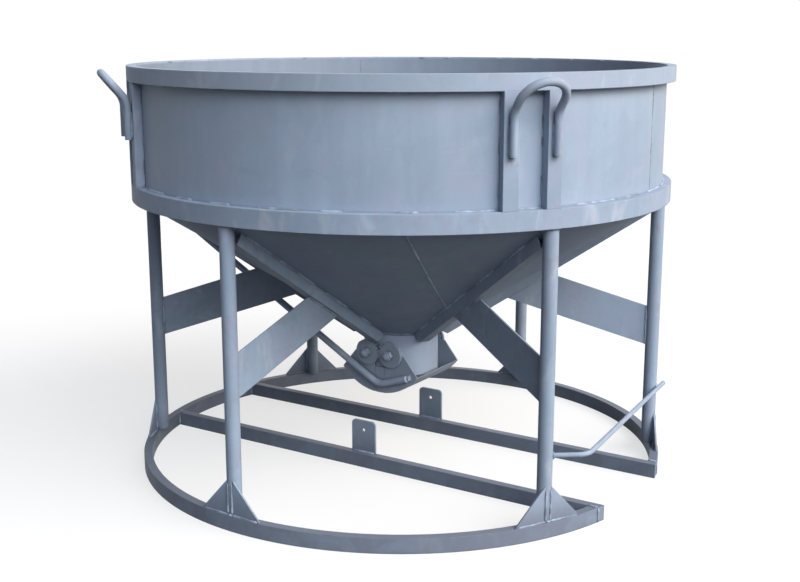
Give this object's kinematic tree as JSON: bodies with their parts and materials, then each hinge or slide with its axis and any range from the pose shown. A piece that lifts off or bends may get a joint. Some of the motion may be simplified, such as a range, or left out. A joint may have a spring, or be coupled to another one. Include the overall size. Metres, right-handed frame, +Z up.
{
  "type": "concrete bucket",
  "caption": "Crane-lifted concrete bucket: a drum over a cone with a hand-levered, geared clamshell gate, on pipe legs and an open base ring, with lifting loops at the rim.",
  "frame": {"origin": "on the drum's axis, on the floor under the base ring", "axes": "+Z up along the drum's axis, +X towards the open front of the base, +Y to the left"},
  "size_m": [1.8999, 1.8999, 1.426],
  "materials": {
    "sheet_paint": "matte primer",
    "frame_paint": "matte primer",
    "gate_paint": "matte primer",
    "pivot_paint": "matte primer"
  },
  "bodies": {
    "frame": {"drum_shell": "sheet_paint", "cone_shell": "sheet_paint", "outlet_neck": "sheet_paint", "top_rim": "frame_paint", "lower_rim": "frame_paint", "leg_front_right": "frame_paint", "leg_front_left": "frame_paint", "leg_left": "frame_paint", "leg_rear_left": "frame_paint", "leg_rear_right": "frame_paint", "leg_right": "frame_paint", "gussets_front_right": "frame_paint", "gussets_front_left": "frame_paint", "gussets_left": "frame_paint", "gussets_rear_left": "frame_paint", "gussets_rear_right": "frame_paint", "gussets_right": "frame_paint", "cone_rib_front_right": "frame_paint", "cone_rib_front_left": "frame_paint", "cone_rib_left": "frame_paint", "cone_rib_rear_left": "frame_paint", "cone_rib_rear_right": "frame_paint", "cone_rib_right": "frame_paint", "brace_front_right": "frame_paint", "brace_front_left": "frame_paint", "brace_left": "frame_paint", "brace_rear_left": "frame_paint", "brace_rear_right": "frame_paint", "brace_right": "frame_paint", "base_ring": "frame_paint", "base_bar_right": "frame_paint", "base_bar_left": "frame_paint", "lug_right": "frame_paint", "lug_left": "frame_paint", "guide_rail": "frame_paint", "hoist_posts_front_right": "frame_paint", "hoist_posts_front_left": "frame_paint", "hoist_posts_rear_left": "frame_paint", "hoist_posts_rear_right": "frame_paint", "lifting_loop_front_right": "frame_paint", "lifting_loop_front_left": "frame_paint", "lifting_loop_rear_left": "frame_paint", "lifting_loop_rear_right": "frame_paint", "pivot_studs": "pivot_paint", "pivot_washers": "pivot_paint", "pivot_nuts": "pivot_paint"},
    "front_jaw": {"front_blade": "gate_paint", "front_cheek_right": "gate_paint", "front_cheek_left": "gate_paint", "front_gear_right": "gate_paint", "front_gear_left": "gate_paint", "closing_strip": "gate_paint", "gate_lever": "gate_paint"},
    "rear_jaw": {"rear_blade": "gate_paint", "rear_cheek_right": "gate_paint", "rear_cheek_left": "gate_paint", "rear_gear_right": "gate_paint", "rear_gear_left": "gate_paint"}
  },
  "joints": [
    {"name": "front_jaw_hinge", "type": "hinge", "parent": "frame", "child": "front_jaw", "pos_m": [0.048, 0, 0.4], "axis": [0, -1, 0], "range_deg": [0, 45]},
    {"name": "rear_jaw_hinge", "type": "hinge", "parent": "frame", "child": "rear_jaw", "pos_m": [-0.048, 0, 0.4], "axis": [0, 1, 0], "range_deg": [0, 45]}
  ],
  "couplings": [
    {"joint": "rear_jaw_hinge", "follows": "front_jaw_hinge", "ratio": 1}
  ]
}
